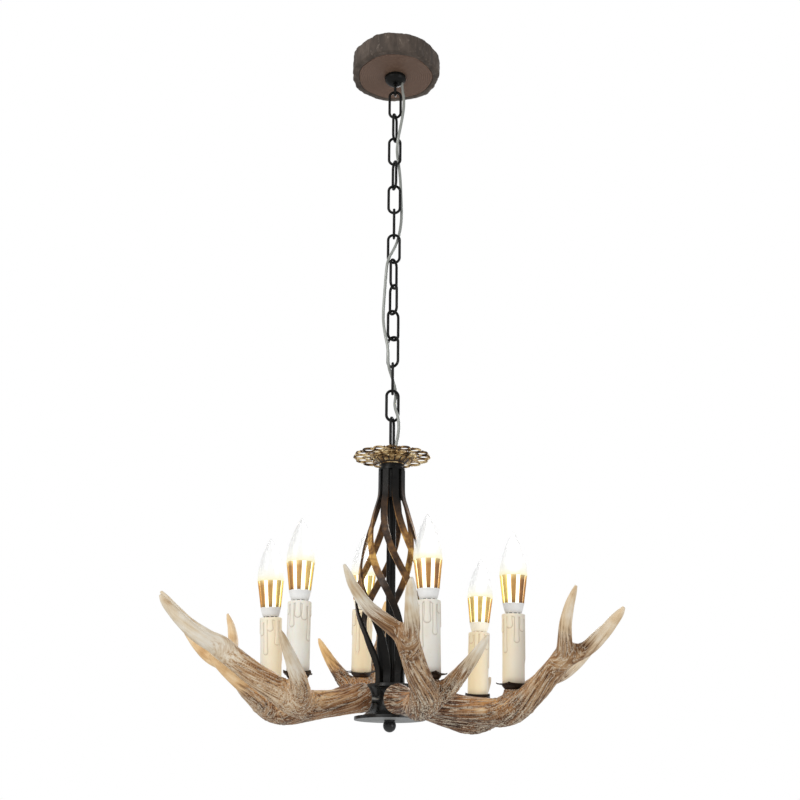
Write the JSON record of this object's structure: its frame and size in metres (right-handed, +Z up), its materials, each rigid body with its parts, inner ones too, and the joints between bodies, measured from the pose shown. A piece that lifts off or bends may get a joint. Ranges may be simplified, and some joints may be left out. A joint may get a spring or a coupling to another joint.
{
  "type": "antler chandelier",
  "caption": "Rustic chandelier of resin antlers with candle lamps, hung by a chain and cable from a bark canopy.",
  "frame": {"origin": "middle of the crossbar's two slots, on the ceiling plane", "axes": "+Z up into the ceiling along the chain, -Y towards the viewer of the picture, +X to the viewer's right and along the crossbar"},
  "size_m": [0.6057, 0.623, 1.0245],
  "materials": {
    "canopy_wood": "matt, resin bark",
    "black_iron": "satin black",
    "zinc_steel": "plated",
    "clear_cable": "translucent",
    "antique_gold": "antiqued",
    "antler_resin": "cast resin, brown with ivory tips",
    "bronze": "dark bronze",
    "candle_ivory": "ivory wax",
    "bulb_white": "white",
    "bulb_brass": "polished",
    "bulb_glass": "clear",
    "grey_cover": "satin grey",
    "white_plastic": "moulded"
  },
  "bodies": {
    "ceiling_body": {"ceiling_crossbar": "zinc_steel", "canopy": "canopy_wood", "canopy_fixings": "zinc_steel", "terminal_block": "white_plastic", "collar_loop": "black_iron", "supply_cable": "clear_cable"},
    "chain_link_01": {"chain_link_01": "black_iron"},
    "chain_link_02": {"chain_link_02": "black_iron"},
    "chain_link_03": {"chain_link_03": "black_iron"},
    "chain_link_04": {"chain_link_04": "black_iron"},
    "chain_link_05": {"chain_link_05": "black_iron"},
    "chain_link_06": {"chain_link_06": "black_iron"},
    "chain_link_07": {"chain_link_07": "black_iron"},
    "chain_link_08": {"chain_link_08": "black_iron"},
    "chain_link_09": {"chain_link_09": "black_iron"},
    "chain_link_10": {"chain_link_10": "black_iron"},
    "chain_link_11": {"chain_link_11": "black_iron"},
    "chain_link_12": {"chain_link_12": "black_iron"},
    "chain_link_13": {"chain_link_13": "black_iron"},
    "chain_link_14": {"chain_link_14": "black_iron"},
    "lamp_body": {"body_loop": "black_iron", "filigree_crown": "antique_gold", "neck_cap": "black_iron", "neck_screw": "zinc_steel", "stem_tube": "black_iron", "basket_straps": "black_iron", "hub_spool": "black_iron", "hub_cover": "grey_cover", "ball_finial": "black_iron", "splice_cap": "white_plastic", "m10_nipples": "zinc_steel", "m10_nuts": "zinc_steel", "lamp_wires": "clear_cable", "drip_pans": "bronze", "lamp_holders": "white_plastic", "candle_sleeves": "candle_ivory", "antler_1": "antler_resin", "antler_2": "antler_resin", "antler_3": "antler_resin", "antler_4": "antler_resin", "antler_5": "antler_resin", "antler_6": "antler_resin"},
    "bulb_1": {"bulb_base_1": "bulb_white", "bulb_sink_1": "bulb_brass", "bulb_glass_1": "bulb_glass"},
    "bulb_2": {"bulb_base_2": "bulb_white", "bulb_sink_2": "bulb_brass", "bulb_glass_2": "bulb_glass"},
    "bulb_3": {"bulb_base_3": "bulb_white", "bulb_sink_3": "bulb_brass", "bulb_glass_3": "bulb_glass"},
    "bulb_4": {"bulb_base_4": "bulb_white", "bulb_sink_4": "bulb_brass", "bulb_glass_4": "bulb_glass"},
    "bulb_5": {"bulb_base_5": "bulb_white", "bulb_sink_5": "bulb_brass", "bulb_glass_5": "bulb_glass"},
    "bulb_6": {"bulb_base_6": "bulb_white", "bulb_sink_6": "bulb_brass", "bulb_glass_6": "bulb_glass"}
  },
  "joints": [
    {"name": "link_01_swing", "type": "hinge", "parent": "ceiling_body", "child": "chain_link_01", "pos_m": [0, 0, -0.0607], "axis": [1, 0, 0], "range_deg": [-25, 25], "deforming": ["supply_cable"]},
    {"name": "link_02_swing", "type": "hinge", "parent": "chain_link_01", "child": "chain_link_02", "pos_m": [0, 0, -0.1017], "axis": [0.2924, 0.9563, 0], "range_deg": [-25, 25], "deforming": ["supply_cable"]},
    {"name": "link_03_swing", "type": "hinge", "parent": "chain_link_02", "child": "chain_link_03", "pos_m": [0, 0, -0.1427], "axis": [-1, 0, 0], "range_deg": [-25, 25], "deforming": ["supply_cable"]},
    {"name": "link_04_swing", "type": "hinge", "parent": "chain_link_03", "child": "chain_link_04", "pos_m": [0, 0, -0.1837], "axis": [0.2924, -0.9563, 0], "range_deg": [-25, 25], "deforming": ["supply_cable"]},
    {"name": "link_05_swing", "type": "hinge", "parent": "chain_link_04", "child": "chain_link_05", "pos_m": [0, 0, -0.2247], "axis": [1, 0, 0], "range_deg": [-25, 25], "deforming": ["supply_cable"]},
    {"name": "link_06_swing", "type": "hinge", "parent": "chain_link_05", "child": "chain_link_06", "pos_m": [0, 0, -0.2657], "axis": [0, 1, 0], "range_deg": [-25, 25], "deforming": ["supply_cable"]},
    {"name": "link_07_swing", "type": "hinge", "parent": "chain_link_06", "child": "chain_link_07", "pos_m": [0, 0, -0.3067], "axis": [-1, 0, 0], "range_deg": [-25, 25], "deforming": ["supply_cable"]},
    {"name": "link_08_swing", "type": "hinge", "parent": "chain_link_07", "child": "chain_link_08", "pos_m": [0, 0, -0.3477], "axis": [-0.5, -0.866, 0], "range_deg": [-25, 25], "deforming": ["supply_cable"]},
    {"name": "link_09_swing", "type": "hinge", "parent": "chain_link_08", "child": "chain_link_09", "pos_m": [0, 0, -0.3887], "axis": [-0.5736, 0.8192, 0], "range_deg": [-25, 25], "deforming": ["supply_cable"]},
    {"name": "link_10_swing", "type": "hinge", "parent": "chain_link_09", "child": "chain_link_10", "pos_m": [0, 0, -0.4297], "axis": [0.866, 0.5, 0], "range_deg": [-25, 25], "deforming": ["supply_cable"]},
    {"name": "link_11_swing", "type": "hinge", "parent": "chain_link_10", "child": "chain_link_11", "pos_m": [0, 0, -0.4707], "axis": [-0.866, 0.5, 0], "range_deg": [-25, 25], "deforming": ["supply_cable"]},
    {"name": "link_12_swing", "type": "hinge", "parent": "chain_link_11", "child": "chain_link_12", "pos_m": [0, 0, -0.5117], "axis": [0, -1, 0], "range_deg": [-25, 25], "deforming": ["supply_cable"]},
    {"name": "link_13_swing", "type": "hinge", "parent": "chain_link_12", "child": "chain_link_13", "pos_m": [0, 0, -0.5527], "axis": [0.9848, 0.1736, 0], "range_deg": [-25, 25], "deforming": ["supply_cable"]},
    {"name": "link_14_swing", "type": "hinge", "parent": "chain_link_13", "child": "chain_link_14", "pos_m": [0, 0, -0.5937], "axis": [0.2588, 0.9659, 0], "range_deg": [-25, 25], "deforming": ["supply_cable"]},
    {"name": "lamp_swing", "type": "hinge", "parent": "chain_link_14", "child": "lamp_body", "pos_m": [0, 0, -0.6347], "axis": [-0.9848, 0.1736, 0], "range_deg": [-25, 25], "deforming": ["supply_cable"]},
    {"name": "bulb_1_out", "type": "slide", "parent": "lamp_body", "child": "bulb_1", "axis": [-0.0062, 0.0062, 1], "range_m": [0, 0.035]},
    {"name": "bulb_2_out", "type": "slide", "parent": "lamp_body", "child": "bulb_2", "axis": [-0.011, -0.0221, 0.9997], "range_m": [0, 0.035]},
    {"name": "bulb_3_out", "type": "slide", "parent": "lamp_body", "child": "bulb_3", "axis": [0.0148, -0.0611, 0.998], "range_m": [0, 0.035]},
    {"name": "bulb_4_out", "type": "slide", "parent": "lamp_body", "child": "bulb_4", "axis": [0.0401, 0.0336, 0.9986], "range_m": [0, 0.035]},
    {"name": "bulb_5_out", "type": "slide", "parent": "lamp_body", "child": "bulb_5", "axis": [0.0163, -0.2467, 0.969], "range_m": [0, 0.035]},
    {"name": "bulb_6_out", "type": "slide", "parent": "lamp_body", "child": "bulb_6", "axis": [-0.0311, -0.1002, 0.9945], "range_m": [0, 0.035]}
  ]
}
